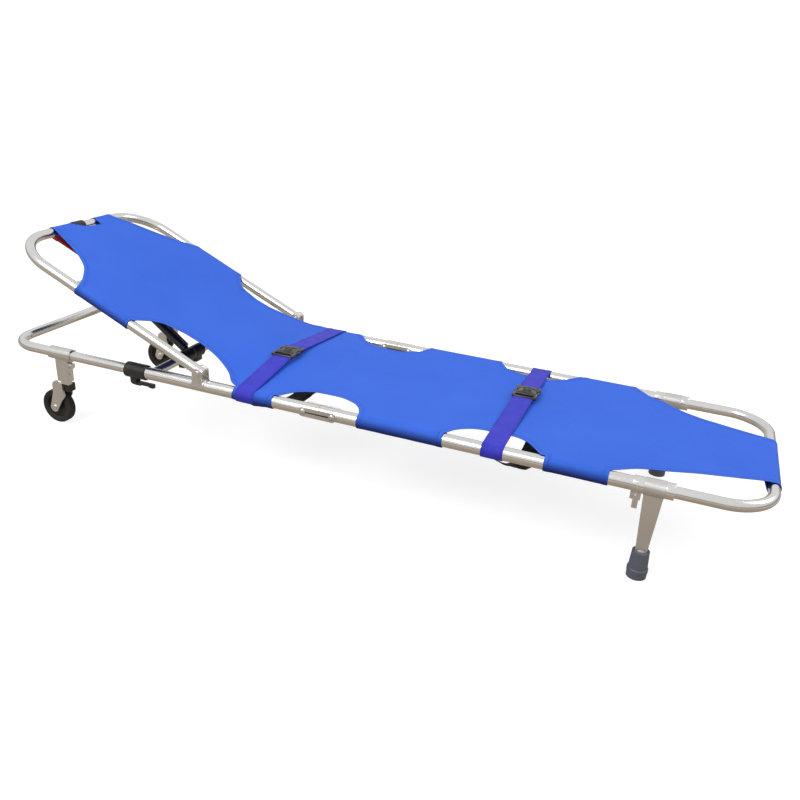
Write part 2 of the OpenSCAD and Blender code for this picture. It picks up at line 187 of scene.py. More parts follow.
# Colour of the room by height of the direction, from straight down (0) to straight up (1)
ROOM = [
    (0.00, (0.44, 0.36, 0.28)),
    (0.28, (0.56, 0.47, 0.38)),
    (0.40, (0.78, 0.71, 0.62)),
    (0.47, (0.30, 0.29, 0.27)),
    (0.52, (0.36, 0.36, 0.35)),
    (0.60, (1.00, 1.00, 1.00)),
    (1.00, (1.00, 1.00, 1.00)),
]


def make_room():
    world = bpy.data.worlds.new("room")
    world.use_nodes = True
    tree = world.node_tree
    background = tree.nodes["Background"]
    coordinate = tree.nodes.new("ShaderNodeTexCoord")
    split = tree.nodes.new("ShaderNodeSeparateXYZ")
    height = tree.nodes.new("ShaderNodeMapRange")
    height.inputs["From Min"].default_value = -1
    ramp = tree.nodes.new("ShaderNodeValToRGB")
    fill_ramp(ramp, ROOM)
    tree.links.new(coordinate.outputs["Generated"], split.inputs[0])
    tree.links.new(split.outputs["Z"], height.inputs["Value"])
    tree.links.new(height.outputs[0], ramp.inputs[0])
    tree.links.new(ramp.outputs["Color"], background.inputs["Color"])
    background.inputs["Strength"].default_value = 0.72
    bpy.context.scene.world = world


def fill_ramp(ramp, stops):
    """Sets a colour ramp's stops from (place, colour) pairs; there are at least two."""
    elements = ramp.color_ramp.elements
    while len(elements) < len(stops):
        elements.new(0.5)
    for element, (place, colour) in zip(elements, stops):
        element.position = place
        element.color = (*colour, 1)


STAGE_GREY = (0.42, 0.42, 0.42, 1)
FLOOR_GLOW = 1.9
BACKDROP_GLOW = 3.0
STAGE_REACH = 16
WALL_HEIGHT = 9


def stage_plane(name, corners, glow):
    """A dull plane that only the camera sees, and that takes the shadow of the object."""
    mesh = bpy.data.meshes.new(name)
    mesh.from_pydata(corners, [], [(0, 1, 2, 3)])
    plane = bpy.data.objects.new(name, mesh)
    material = bpy.data.materials.new(name)
    material.use_nodes = True
    shader = material.node_tree.nodes["Principled BSDF"]
    shader.inputs["Base Color"].default_value = STAGE_GREY
    shader.inputs["Roughness"].default_value = 1
    shader.inputs["Specular IOR Level"].default_value = 0
    shader.inputs["Emission Color"].default_value = STAGE_GREY
    shader.inputs["Emission Strength"].default_value = glow
    mesh.materials.append(material)
    plane.visible_glossy = False
    plane.visible_diffuse = False
    plane.visible_shadow = False
    bpy.context.scene.collection.objects.link(plane)


def make_stage():
    far = STAGE_REACH
    corners = [(-far, -far), (far, -far), (far, far), (-far, far)]
    stage_plane("floor", [(x, y, 0) for x, y in corners], FLOOR_GLOW)
    for k, (start, stop) in enumerate(zip(corners, corners[1:] + corners[:1])):
        wall = [(*start, 0), (*stop, 0), (*stop, WALL_HEIGHT), (*start, WALL_HEIGHT)]
        stage_plane(f"backdrop_{k}", wall, BACKDROP_GLOW)


# ---------------------------------------------------------------- materials


class Look:
    """One procedural material. Values given as sockets are linked, and all others are set."""

    def __init__(self, name):
        self.material = bpy.data.materials.new(name)
        self.material.use_nodes = True
        self.tree = self.material.node_tree
        self.shader = self.tree.nodes["Principled BSDF"]

    def put(self, socket, value):
        if isinstance(value, bpy.types.NodeSocket):
            self.tree.links.new(value, socket)
        else:
            socket.default_value = value

    def set(self, **values):
        for name, value in values.items():
            self.put(self.shader.inputs[name.replace("_", " ")], value)

    def node(self, kind, inputs, **settings):
        made = self.tree.nodes.new("ShaderNode" + kind)
        for name, value in settings.items():
            setattr(made, name, value)
        for name, value in inputs.items():
            self.put(made.inputs[name], value)
        return made

    def place(self, scale=(1, 1, 1), uv=False):
        """Coordinates in metres, from the mesh or along the cloth."""
        source = self.node("TexCoord", {}).outputs["UV" if uv else "Object"]
        return self.node("Mapping", {"Vector": source, "Scale": scale}).outputs[0]

    def math(self, operation, a, b=0.0):
        return self.node("Math", {0: a, 1: b}, operation=operation).outputs[0]

    def noise(self, place, scale, detail=3.0, roughness=0.5):
        inputs = {"Vector": place, "Scale": scale, "Detail": detail, "Roughness": roughness}
        return self.node("TexNoise", inputs).outputs[0]

    def spread(self, value, low, high, start=0.3, stop=0.7):
        """value from start to stop becomes low to high."""
        inputs = {"Value": value, "From Min": start, "From Max": stop, "To Min": low, "To Max": high}
        return self.node("MapRange", inputs).outputs[0]

    def blend(self, share, a, b):
        made = self.node("Mix", {0: share}, data_type="RGBA")
        for socket, value in ((made.inputs[6], a), (made.inputs[7], b)):
            self.put(socket, value if isinstance(value, bpy.types.NodeSocket) else (*value, 1))
        return made.outputs[2]

    def bump(self, height, depth, strength=1.0, under=None):
        inputs = {"Height": height, "Distance": depth, "Strength": strength}
        if under is not None:
            inputs["Normal"] = under
        return self.node("Bump", inputs).outputs[0]


def metal_look(name, light, dark, rough, grain_along):
    """Drawn metal: fine lines along one axis, soft smudges and fine specks."""
    look = Look(name)
    squeeze = {"x": (6, 900, 900), "y": (900, 6, 900), "z": (900, 900, 6)}[grain_along]
    lines = look.noise(look.place(squeeze), 1.0, 2.0)
    smudge = look.noise(look.place(), 7.0, 3.0, 0.5)
    speck = look.noise(look.place(), 260.0, 2.0)
    look.set(
        Base_Color=look.blend(look.spread(smudge, 0, 1), light, dark),
        Metallic=1.0,
        Roughness=look.math(
            "ADD",
            look.spread(lines, rough - 0.03, rough + 0.03),
            look.spread(smudge, -0.015, 0.03),
        ),
        Normal=look.bump(speck, 0.00001, 0.12, look.bump(lines, 0.00003, 0.18)),
    )
    return look.material


def plastic_look(name, light, dark, rough, coat=0.0, grain=420.0, grain_depth=0.00006):
    """Moulded plastic, rubber or paint: fine grain, dust in patches, worn paler patches."""
    look = Look(name)
    patch = look.noise(look.place(), 22.0, 4.0, 0.6)
    fine = look.noise(look.place(), grain, 2.0)
    look.set(
        Base_Color=look.blend(look.spread(patch, 0, 1, 0.35, 0.75), light, dark),
        Roughness=look.spread(patch, rough - 0.07, rough + 0.09),
        Coat_Weight=coat,
        Coat_Roughness=0.12,
        Normal=look.bump(fine, grain_depth, 0.6),
    )
    return look.material


def woven_height(look, place, pitch):
    """Height of a plain weave: warp and weft threads that take turns on top."""
    split = look.node("SeparateXYZ", {0: place})
    turn = 2 * math.pi / pitch
    wave = [look.math("SINE", look.math("MULTIPLY", split.outputs[k], turn / 2)) for k in (0, 1)]
    return look.math("MULTIPLY", wave[0], wave[1])


STITCH_AT = 9.5
STITCH_PITCH = 4.2 * MM


def cloth_look():
    """Coated woven polyester, with a stitch line along every hem, and painted shade where the cloth faces
    down.
    """
    look = Look("bed_cloth")
    place = look.place(uv=True)
    weave = woven_height(look, place, 1.1 * MM)
    cloud = look.noise(place, 5.0, 4.0, 0.55)
    fibre = look.noise(look.place((700, 60, 1), uv=True), 1.0, 2.0)
    edge = look.node("Attribute", {}, attribute_name="edge").outputs["Fac"]
    along = look.node("SeparateXYZ", {0: place}).outputs[0]
    from_line = look.math("ABSOLUTE", look.math("SUBTRACT", edge, STITCH_AT))
    on_line = look.spread(from_line, 1, 0, 0.35, 0.95)
    dash_wave = look.math("SINE", look.math("MULTIPLY", along, 2 * math.pi / STITCH_PITCH))
    dash = look.spread(dash_wave, 0.35, 1, -0.7, -0.2)
    stitch = look.math("MULTIPLY", on_line, dash)
    fold_end = look.spread(look.math("ABSOLUTE", look.math("SUBTRACT", edge, HEM)), 0.35, 0, 0, 1.2)
    base = look.blend(
        look.spread(cloud, 0, 1, 0.25, 0.75), (0.033, 0.128, 0.690), (0.041, 0.148, 0.750)
    )
    threads = look.blend(look.spread(weave, 0, 0.16, -1, 1), base, (0.062, 0.200, 0.88))
    lines = look.math("MAXIMUM", look.math("MULTIPLY", stitch, 0.8), fold_end)
    # Painted shade: the cloth's colour darkens to a deep navy where its surface faces down, under the
    # sleeves and the bed.
    facing = look.node("SeparateXYZ", {0: look.node("NewGeometry", {}).outputs["Normal"]}).outputs[2]
    unshaded_share = look.spread(facing, 0, 1, -0.45, 0.8)
    with_painted_shade = look.blend(unshaded_share, (0.010, 0.026, 0.20), threads)
    raised = look.bump(weave, 0.00009, 0.35)
    puckered = look.bump(look.math("SUBTRACT", 0.0, on_line), 0.0006, 0.7, raised)
    look.set(
        Base_Color=look.blend(lines, with_painted_shade, (0.016, 0.046, 0.33)),
        Roughness=look.spread(fibre, 0.52, 0.66),
        Specular_IOR_Level=0.18,
        Normal=puckered,
    )
    return look.material


CHEVRONS_PER_METRE = 80
CHEVRON_SLANT = 0.006
RIB_PITCH = 0.0024
SELVEDGE_AT = 0.0215


def webbing_look(name, light, dark, sheen):
    """Nylon webbing: slanting ribs in chevrons, and a tight line along both edges."""
    look = Look(name)
    place = look.place(uv=True)
    split = look.node("SeparateXYZ", {0: place})
    along, over = split.outputs[0], split.outputs[1]
    chevron = look.math("FRACT", look.math("MULTIPLY", over, CHEVRONS_PER_METRE))
    zigzag = look.math("ABSOLUTE", look.math("SUBTRACT", chevron, 0.5))
    slanted = look.math("ADD", along, look.math("MULTIPLY", zigzag, CHEVRON_SLANT))
    ribs = look.math("SINE", look.math("MULTIPLY", slanted, 2 * math.pi / RIB_PITCH))
    from_edge = look.math("SUBTRACT", look.math("ABSOLUTE", over), SELVEDGE_AT)
    selvedge = look.spread(look.math("ABSOLUTE", from_edge), 1, 0, 0.0004, 0.0011)
    cloud = look.noise(place, 24.0, 4.0, 0.6)
    base = look.blend(look.spread(cloud, 0, 1), light, dark)
    groove, line = (tuple(share * c for c in dark) for share in (0.45, 0.4))
    ribbed = look.blend(look.spread(ribs, 0, 0.22, 1, -1), base, groove)
    tight = look.bump(look.math("SUBTRACT", 0.0, selvedge), 0.0004, 0.6, look.bump(ribs, 0.00016, 0.6))
    look.set(
        Base_Color=look.blend(look.math("MULTIPLY", selvedge, 0.45), ribbed, line),
        Roughness=look.spread(cloud, 0.46, 0.60),
        Specular_IOR_Level=0.22,
        Sheen_Weight=sheen,
        Sheen_Roughness=0.35,
        Normal=tight,
    )
    return look.material


def make_looks():
    """Every material, by what it is used on."""
    return {
        "rail": metal_look("drawn_aluminium_x", (0.91, 0.905, 0.89), (0.85, 0.84, 0.82), 0.19, "x"),
        "bar": metal_look("drawn_aluminium_y", (0.90, 0.89, 0.87), (0.82, 0.81, 0.79), 0.22, "y"),
        "plate": metal_look("pressed_aluminium", (0.80, 0.79, 0.77), (0.70, 0.69, 0.67), 0.34, "z"),
        "steel": metal_look("plated_steel", (0.80, 0.80, 0.80), (0.66, 0.66, 0.65), 0.18, "z"),
        "dark_metal": plastic_look("dark_enamel", (0.012, 0.014, 0.035), (0.03, 0.032, 0.06), 0.30, 0.4),
        "black": plastic_look("moulded_black", (0.012, 0.012, 0.013), (0.030, 0.029, 0.028), 0.34),
        "buckle": plastic_look(
            "buckle_black", (0.016, 0.015, 0.013), (0.045, 0.040, 0.032), 0.22, 0.5, 300.0, 0.00003
        ),
        "core": plastic_look("wheel_black", (0.012, 0.011, 0.010), (0.032, 0.029, 0.026), 0.42),
        "tyre": plastic_look(
            "tyre_rubber", (0.010, 0.010, 0.010), (0.028, 0.026, 0.024), 0.60, 0.0, 600.0, 0.0001
        ),
        "foot": plastic_look(
            "slate_rubber", (0.115, 0.132, 0.172), (0.085, 0.104, 0.145), 0.42, 0.0, 500.0, 0.00008
        ),
        "red": plastic_look("red_enamel", (0.235, 0.010, 0.006), (0.17, 0.008, 0.006), 0.28, 0.6),
        "cloth": cloth_look(),
        "webbing": webbing_look("violet_webbing", (0.052, 0.052, 0.650), (0.040, 0.042, 0.550), 0.06),
        # Near-black copy of the violet webbing for the straps' lower runs: painted shade under the bed.
        "shaded_webbing": webbing_look("painted_shade_webbing", (0.006, 0.007, 0.016), (0.004, 0.005, 0.012), 0.0),
    }


# The material of each carried-over CAD node, by how its name starts
NODE_LOOKS = [
    ("head_crossbar", "bar"),
    ("backrest_brace", "bar"),
    ("crossbar_clamps", "black"),
    ("rail_clamps", "black"),
    ("clamp_lever", "black"),
    ("head_clip", "black"),
    ("head_rail", "rail"),
    ("foot_rail", "rail"),
    ("head_end_tube", "rail"),
    ("foot_end_tube", "rail"),
    ("backrest_frame", "rail"),
    ("backrest_end_caps", "rail"),
    ("rail_collars", "rail"),
    ("tyre", "tyre"),
    ("wheel_hub", "core"),
    ("wheel_bracket", "plate"),
    ("wheel_guard", "black"),
    ("wheel_axle", "steel"),
    ("wheel_latch", "steel"),
    ("hinge_rivets", "steel"),
    ("hinge_plates", "plate"),
    ("backrest_pivot_pins", "steel"),
    ("backrest_brackets", "plate"),
    ("strut_cylinder", "dark_metal"),
    ("strut_rod", "steel"),
    ("strut", "plate"),
    ("lever_bracket", "plate"),
    ("release_lever", "red"),
    ("rubber_foot", "foot"),
    ("leg", "plate"),
]
SHARP = math.radians(38)
# Width in millimetres of the softened edges, by look
BEVEL = {"plate": 0.7, "black": 0.9, "core": 0.7, "foot": 0.9, "red": 0.9, "steel": 0.3}


def dress_nodes(looks):
    """Gives every CAD node its material, and softens the edges of pressed and moulded ones."""
    for name, node in frame["nodes"].items():
        key = next((look for start, look in NODE_LOOKS if name.startswith(start)), None)
        if key is None:
            continue
        node.data.materials.clear()
        node.data.materials.append(looks[key])
        weld = node.modifiers.new("weld", "WELD")
        weld.merge_threshold = 0.00002
        if key in BEVEL:
            bevel = node.modifiers.new("bevel", "BEVEL")
            bevel.width = BEVEL[key] * MM
            bevel.segments = 2
            bevel.limit_method = "ANGLE"
            bevel.angle_limit = SHARP
        smooth = node.modifiers.new("normals", "WEIGHTED_NORMAL")
        smooth.keep_sharp = True
        node.data.shade_smooth()
        node.data.set_sharp_from_angle(angle=SHARP)


# ---------------------------------------------------------------- cloth bed

# Half widths of the cloth where its edge is cut away, as (place along X, distance from the centre)
HEAD_SCALLOP = [
    (-525, 257.5), (-520, 247), (-500, 214), (-480, 196), (-450, 186), (-420, 180), (-390, 180),
    (-360, 185), (-330, 194), (-300, 207), (-270, 226), (-248, 250), (-234, 257.5),
]
HINGE_SCALLOP = [
    (-112, 257.5), (-103, 241), (-79, 211), (-35, 192), (18, 189), (56, 201), (83, 224), (99, 257.5),
]
FOOT_SCALLOP = [
    (309, 257.5), (315, 249), (327, 228), (366, 201), (396, 196), (454, 196), (484, 206),
    (511, 233), (524, 250), (531, 257.5),
]
FOOT_NEAR = [
    (680, 257.5), (692, 250), (738, 219), (794, 200), (860, 174), (941, 152), (1011, 139), (1100, 139),
]
FOOT_FAR = [
    (680, 257.5), (690, 246), (725, 210), (751, 199), (798, 165), (847, 143), (897, 130),
    (993, 101), (1018, 95), (1100, 95),
]
# The same along the backrest, measured from its pivot
BACK_NEAR = [(388, 257.5), (409, 223), (446, 179), (505, 146), (584, 119), (618, 110), (720, 110)]
BACK_FAR = [(388, 257.5), (441, 217), (479, 192), (563, 151), (618, 122), (720, 116)]
BACK_SLEEVE = {-1: (216, 388), 1: (212, 388)}
RAIL_SLEEVES = {"head": (-230, -124), "middle": (99, 309), "foot": (541, 680)}
NOTCH = [(-36, 618), (-22, 601), (0, 589), (30, 584), (53, 584)]
NOTCH_START = 545
# Added to a place along the backrest, so that its stations never match those of the rails
BACK_KEY = 1000
SEAM_X = -198
BRIDGE_FOOT_X = -235
BRIDGE_HEAD_X = -525
BRIDGE_SOFT = 9
HEM_COLUMNS = np.array([0, 1.5, 4, 8, 9.5, 11])


def half_width(table, x):
    inside = (x >= table[0][0]) & (x <= table[-1][0])
    return np.where(inside, smooth_through(table, x), SIDE_Y)


def bed_height(x):
    """Height of the cloth over the rails: flat, then rising to the backrest past the bridge's foot."""
    top = PIVOT_Z + OUT_BACK[1] * (TUBE_R + SLEEVE_GAP)
    reach = (PIVOT_X + OUT_BACK[0] * (TUBE_R + SLEEVE_GAP)) - BRIDGE_HEAD_X
    top += reach * math.tan(BACK_ANGLE)
    slope = (top - BED_Z) / (BRIDGE_FOOT_X - BRIDGE_HEAD_X)
    rise = slope * BRIDGE_SOFT * np.logaddexp(0, (BRIDGE_FOOT_X - x) / BRIDGE_SOFT)
    drop = (RAIL_R - TUBE_R) * ease(690, 990, x)
    return BED_Z + rise - drop


def lift(x, y):
    """How far the free cloth stands off the rail line.

    It is pulled up in front of the backrest, sags between hinge and foot end, and stands a little
    higher where it passes over the brace of the backrest.
    """
    across = np.cos(np.clip(y / SIDE_Y, -1, 1) * math.pi / 2)
    pulled = 21 * ease(-60, -215, x) * ease(-430, -260, x)
    sag = -4.5 * ease(-60, 40, x) * ease(1010, 880, x)
    brace = 3.2 * ease(-520, -660, x) * ease(-850, -760, x)
    return (pulled + sag + brace) * across ** 1.5


def ripple(x, y):
    """Small waves of stretched cloth, none along the rails."""
    wave = noise.noise(Vector((x / 150, y / 75, RIPPLE_SEED)))
    wave += 0.5 * noise.noise(Vector((x / 60, y / 40, RIPPLE_SEED)))
    return 1.3 * wave * math.cos(min(abs(y) / SIDE_Y, 1) * math.pi / 2)


class Stations:
    """Places along the bed: developed length, point and outward direction in the XZ plane."""

    def __init__(self):
        self.key, self.long, self.point, self.out, self.wrap = [], [], [], [], []

    def add(self, key, point, out, wrap=False):
        point = np.array(point, float)
        step = 0.0 if not self.point else float(np.linalg.norm(point - self.point[-1]))
        self.long.append(step + (self.long[-1] if self.long else 0.0))
        self.key.append(key)
        self.point.append(point)
        self.out.append(np.array(out, float))
        self.wrap.append(wrap)

    def wrap_bar(self, key, centre, ahead, up, radius):
        """Round an end bar, then straight back up to just under the cloth."""
        for turn in np.arange(WRAP_STEP, WRAP_END + 0.01, WRAP_STEP):
            out = math.sin(turn) * ahead + math.cos(turn) * up
            self.add(key, centre + radius * out, out, True)
        back = math.cos(WRAP_END) * ahead - math.sin(WRAP_END) * up
        last = centre + radius * (math.sin(WRAP_END) * ahead + math.cos(WRAP_END) * up)
        for share in (0.5, 1):
            self.add(key, last + share * wrap_tail(radius) * back, out, True)


def spaced(start, stop, *between):
    """Places from start to stop about a station apart, that include those between."""
    stops = [start, *between, stop]
    parts = [
        np.linspace(a, b, max(2, math.ceil(abs(b - a) / STATION_STEP)), endpoint=False)
        for a, b in zip(stops, stops[1:])
    ]
    return [*np.concatenate(parts), stop]


def flat_stations(start, stop, *between):
    stations = Stations()
    for x in spaced(start, stop, *between):
        slope = (bed_height(x + 1) - bed_height(x - 1)) / 2
        out = np.array([-slope, 1]) / math.hypot(slope, 1)
        stations.add(x, (x, bed_height(x)), out)
    return stations


def columns(near, far, knots, counts):
    """Places across the cloth, closer together along both hems."""
    stops = [-near + HEM, *knots, far - HEM]
    inner = [np.linspace(a, b, n, endpoint=False) for a, b, n in zip(stops, stops[1:], counts)]
    return np.concatenate([HEM_COLUMNS - near, *inner, [far - HEM], (far - HEM_COLUMNS)[::-1]])


class Fabric:
    """Collects grids of points, in millimetres, and makes one sheet of cloth from them."""

    def __init__(self):
        self.mesh = bmesh.new()
        self.uv = self.mesh.loops.layers.uv.new("UVMap")
        self.edge = self.mesh.verts.layers.float.new("edge")

    def grid(self, points, uv, edge, skip=lambda row, column: False):
        rows, cols = points.shape[:2]
        placed = to_frame(points.reshape(-1, 3)).reshape(points.shape)
        made = [[self.mesh.verts.new(placed[r, c]) for c in range(cols)] for r in range(rows)]
        for r in range(rows):
            for c in range(cols):
                made[r][c][self.edge] = edge[r, c]
        for r in range(rows - 1):
            for c in range(cols - 1):
                if skip(r, c):
                    continue
                corners = [(r, c), (r, c + 1), (r + 1, c + 1), (r + 1, c)]
                face = self.mesh.faces.new([made[i][j] for i, j in corners])
                face.smooth = True
                for loop, (i, j) in zip(face.loops, corners):
                    loop[self.uv].uv = uv[i, j] * MM

    def finish(self, name, look, thickness):
        """The sheet as an object with its thickness, and the area of its one side."""
        bmesh.ops.remove_doubles(self.mesh, verts=self.mesh.verts, dist=0.00001)
        loose = [v for v in self.mesh.verts if not v.link_faces]
        bmesh.ops.delete(self.mesh, geom=loose, context="VERTS")
        bmesh.ops.recalc_face_normals(self.mesh, faces=self.mesh.faces)
        area = sum(face.calc_area() for face in self.mesh.faces)
        data = bpy.data.meshes.new(name)
        self.mesh.to_mesh(data)
        self.mesh.free()
        piece = bpy.data.objects.new(name, data)
        bpy.context.scene.collection.objects.link(piece)
        data.materials.append(look)
        solid = piece.modifiers.new("thickness", "SOLIDIFY")
        solid.thickness = thickness * MM
        solid.offset = 0
        solid.use_even_offset = False
        settle(piece)
        return piece, area


CUT_EDGE = math.radians(55)


def settle(piece):
    """Applies a piece's modifiers, and marks the edges of the cut cloth as sharp."""
    shown = piece.evaluated_get(bpy.context.evaluated_depsgraph_get())
    piece.data = bpy.data.meshes.new_from_object(shown)
    piece.data.set_sharp_from_angle(angle=CUT_EDGE)
    piece.modifiers.clear()


def edge_distance(long, across, outline):
    """Distance in millimetres of each point of a grid to the nearest cut edge."""
    points = np.stack([long, across], axis=-1).reshape(-1, 1, 2)
    nearest = np.full(len(points), 99.0)
    for chunk in np.array_split(outline, max(1, len(outline) // 150)):
        gap = np.linalg.norm(points - chunk[None], axis=2).min(axis=1)
        nearest = np.minimum(nearest, gap)
    return nearest.reshape(long.shape)


def cloth_panel(fabric, stations, near, far, sleeves, knots=(), counts=(52,), notch=None):
    """Adds a sheet that follows the stations, with its sleeves round the tubes at its sides.

    near and far are the half widths at each station. sleeves are (side, first, last, radius), where
    first and last are stations. The columns between the knots don't go round the end bar, and
    notch moves them.
    """
    across = np.array([columns(n, f, knots, counts) for n, f in zip(near, far)])
    long = np.repeat(np.array(stations.long)[:, None], across.shape[1], axis=1)
    outline = []
    for side, width in ((-1, near), (1, far)):
        held = [range(a, b + 1) for s, a, b, _ in sleeves if s == side]
        inside = {i for span in held for i in span[1:-1]}
        free = [i for i in range(len(width)) if i not in inside]
        outline += [(stations.long[i], side * width[i]) for i in free]
        for a, b in zip(free, free[1:]):
            if b == a + 1:
                for share in (0.33, 0.67):
                    at = stations.long[a] * (1 - share) + stations.long[b] * share
                    outline.append((at, side * (width[a] * (1 - share) + width[b] * share)))
    edge = edge_distance(long, across, np.array(outline))
    bar = next((at for at, w in zip(stations.long, stations.wrap) if w), math.inf)
    points = np.zeros((*across.shape, 3))
    for r, (base, out, wrapped) in enumerate(zip(stations.point, stations.out, stations.wrap)):
        for c, y in enumerate(across[r]):
            x, z = base
            raised = HEM_RISE * (1 - ease(HEM - 3, HEM, edge[r, c]))
            if not wrapped:
                loose = ease(8, 90, bar - stations.long[r]) * ease(0, 40, edge[r, c])
                raised += lift(x, y) + loose * ripple(x, y)
            points[r, c] = (x + raised * out[0], y, z + raised * out[1])
    if notch is not None:
        notch(points, across)
    between = len(HEM_COLUMNS) + sum(counts[:1]), len(HEM_COLUMNS) + sum(counts[:2])
    open_part = between if knots else None

    def skip(row, column):
        over_bar = stations.wrap[row + 1]
        return open_part is not None and over_bar and open_part[0] <= column < open_part[1]

    fabric.grid(points, np.stack([long, across], axis=-1), edge, skip)
    for side, first, last, radius in sleeves:
        rows = range(first, last + 1)
        column = 0 if side < 0 else -1
        add_sleeve(fabric, stations, rows, side, radius, points[first : last + 1, column])


def add_sleeve(fabric, stations, rows, side, radius, joined):
    """The part of the cloth that goes round a tube, from its top outwards and back under the bed."""
    turns = np.arange(0, WRAP_END + 0.01, WRAP_STEP)
    over = [(radius * math.sin(t), radius * (math.cos(t) - 1)) for t in turns]
    length = wrap_tail(radius)
    last = over[-1]
    for share in (0.5, 1):
        over.append((
            last[0] + share * length * math.cos(WRAP_END),
            last[1] - share * length * math.sin(WRAP_END),
        ))
    points = np.zeros((len(rows), len(over), 3))
    uv = np.zeros((len(rows), len(over), 2))
    edge = np.zeros((len(rows), len(over)))
    run = np.concatenate([[0], np.cumsum([math.dist(a, b) for a, b in zip(over, over[1:])])])
    long = stations.long
    for r, row in enumerate(rows):
        base, out = stations.point[row], stations.out[row]
        from_end = min(long[row] - long[rows[0]], long[rows[-1]] - long[row])
        for c, (y, up) in enumerate(over):
            crease = 0.5 * noise.noise(Vector((base[0] / 45, c / 3, side)))
            slack = crease * math.sin(math.pi * c / len(over))
            thick = HEM_RISE * (1 - ease(HEM - 3, HEM, from_end)) * (0 if c == 0 else 1)
            swell = 1 + (thick + max(0, slack)) / radius
            height = (up + radius) * swell - radius
            points[r, c] = (
                base[0] + height * out[0], side * (SIDE_Y + y * swell), base[1] + height * out[1]
            )
            uv[r, c] = (long[row], side * (SIDE_Y + run[c]))
            edge[r, c] = from_end
    points[:, 0] = joined
    fabric.grid(points, uv, edge)


def station_at(stations, key):
    return int(np.argmin([abs(k - key) for k in stations.key]))


def make_back_cloth(looks):
    """From under the first strap up over the backrest to its end bar."""
    sleeve_head = RAIL_SLEEVES["head"]
    stations = flat_stations(SEAM_X, BRIDGE_HEAD_X, sleeve_head[0], BRIDGE_FOOT_X)
    start = np.array([PIVOT_X, PIVOT_Z])
    radius = TUBE_R + SLEEVE_GAP
    first_s = float((stations.point[-1] - start) @ UP_BACK)
    marks = sorted({s for pair in BACK_SLEEVE.values() for s in pair} | {NOTCH_START})
    for s in spaced(first_s, BACK_LEN, *[m for m in marks if m > first_s + 1])[1:]:
        stations.add(BACK_KEY + s, start + s * UP_BACK + radius * OUT_BACK, OUT_BACK)
    last = len(stations.key) - 1
    bar = start + BACK_LEN * UP_BACK
    stations.wrap_bar(BACK_KEY + BACK_LEN + 1, bar, UP_BACK, OUT_BACK, radius)
    near, far = [], []
    for key in stations.key:
        s = key - BACK_KEY
        if s > 0:
            near.append(half_width(BACK_NEAR, s) if s >= BACK_NEAR[0][0] else SIDE_Y)
            far.append(half_width(BACK_FAR, s) if s >= BACK_FAR[0][0] else SIDE_Y)
        else:
            near.append(half_width(HEAD_SCALLOP, key))
            far.append(half_width(HEAD_SCALLOP, key))
    seam_row = station_at(stations, sleeve_head[0])
    sleeves = []
    for side in (-1, 1):
        sleeves.append((side, 0, seam_row, RAIL_R + SLEEVE_GAP))
        low, high = (station_at(stations, BACK_KEY + s) for s in BACK_SLEEVE[side])
        sleeves.append((side, low, high, radius))

    def notch(points, across):
        """Pulls the middle of the head end back from the end bar."""
        along = np.array([k - BACK_KEY for k in stations.key])
        rows = [r for r in range(last + 1) if along[r] > NOTCH_START]
        for r in rows:
            for c, y in enumerate(across[r]):
                if NOTCH[0][0] < y < NOTCH[-1][0] + 0.5:
                    end = float(smooth_through(NOTCH, y))
                    share = (along[r] - NOTCH_START) / (BACK_LEN - NOTCH_START)
                    back = share * (BACK_LEN - end)
                    points[r, c, 0] -= back * UP_BACK[0]
                    points[r, c, 2] -= back * UP_BACK[1]

    fabric = Fabric()
    knots = (NOTCH[0][0], NOTCH[-1][0] + 2)
    cloth_panel(fabric, stations, near, far, sleeves, knots, (18, 20, 18), notch)
    piece, area = fabric.finish("bed_cloth_backrest", looks["cloth"], CLOTH_T)
    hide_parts("backrest_cloth")
    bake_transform(piece)


def make_middle_cloth(looks):
    """From under the first strap to the middle of the hinge."""
    stations = flat_stations(SEAM_X, 0, RAIL_SLEEVES["head"][1])
    widths = [half_width(HINGE_SCALLOP, key) for key in stations.key]
    last = station_at(stations, RAIL_SLEEVES["head"][1])
    sleeves = [(side, 0, last, RAIL_R + SLEEVE_GAP) for side in (-1, 1)]
    fabric = Fabric()
    cloth_panel(fabric, stations, widths, widths, sleeves)
    piece, area = fabric.finish("bed_cloth_middle", looks["cloth"], CLOTH_T)
    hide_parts("head_cloth")
    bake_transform(piece)


def make_foot_cloth(looks):
    """From the middle of the hinge to the foot end bar."""
    middle, foot = RAIL_SLEEVES["middle"], RAIL_SLEEVES["foot"]
    stations = flat_stations(0, FOOT_BAR_X, *middle, 531, *foot)
    ahead, up = np.array([1.0, 0.0]), np.array([0.0, 1.0])
    radius = TUBE_R + SLEEVE_GAP
    stations.wrap_bar(FOOT_BAR_X + 1, np.array([FOOT_BAR_X, RAIL_Z]), ahead, up, radius)
    near, far = [], []
    for key in stations.key:
        shared = min(half_width(HINGE_SCALLOP, key), half_width(FOOT_SCALLOP, key))
        near.append(min(shared, half_width(FOOT_NEAR, key)))
        far.append(min(shared, half_width(FOOT_FAR, key)))
    sleeves = []
    for low, high in (middle, foot):
        rows = station_at(stations, low), station_at(stations, high)
        sleeves += [(side, *rows, RAIL_R + SLEEVE_GAP) for side in (-1, 1)]
    fabric = Fabric()
    cloth_panel(fabric, stations, near, far, sleeves)
    piece, area = fabric.finish("bed_cloth_foot", looks["cloth"], CLOTH_T)
    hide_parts("foot_cloth")
    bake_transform(piece)


# ---------------------------------------------------------------- straps and buckles

STRAP_W = 50
STRAP_T = 1.6
STRAP_GAP = 1.2
BUCKLE_HALF = 36
BUCKLE_BAR_DROP = 1


def upper_hull(points):
    """The taut line over the given (across, height) points, from the lowest across to the highest."""
    hull = []
    for p in sorted(points):
        while len(hull) > 1:
            (ax, ay), (bx, by) = hull[-2:]
            if (bx - ax) * (p[1] - ay) - (by - ay) * (p[0] - ax) < 0:
                break
            hull.pop()
        hull.append(p)
    return hull


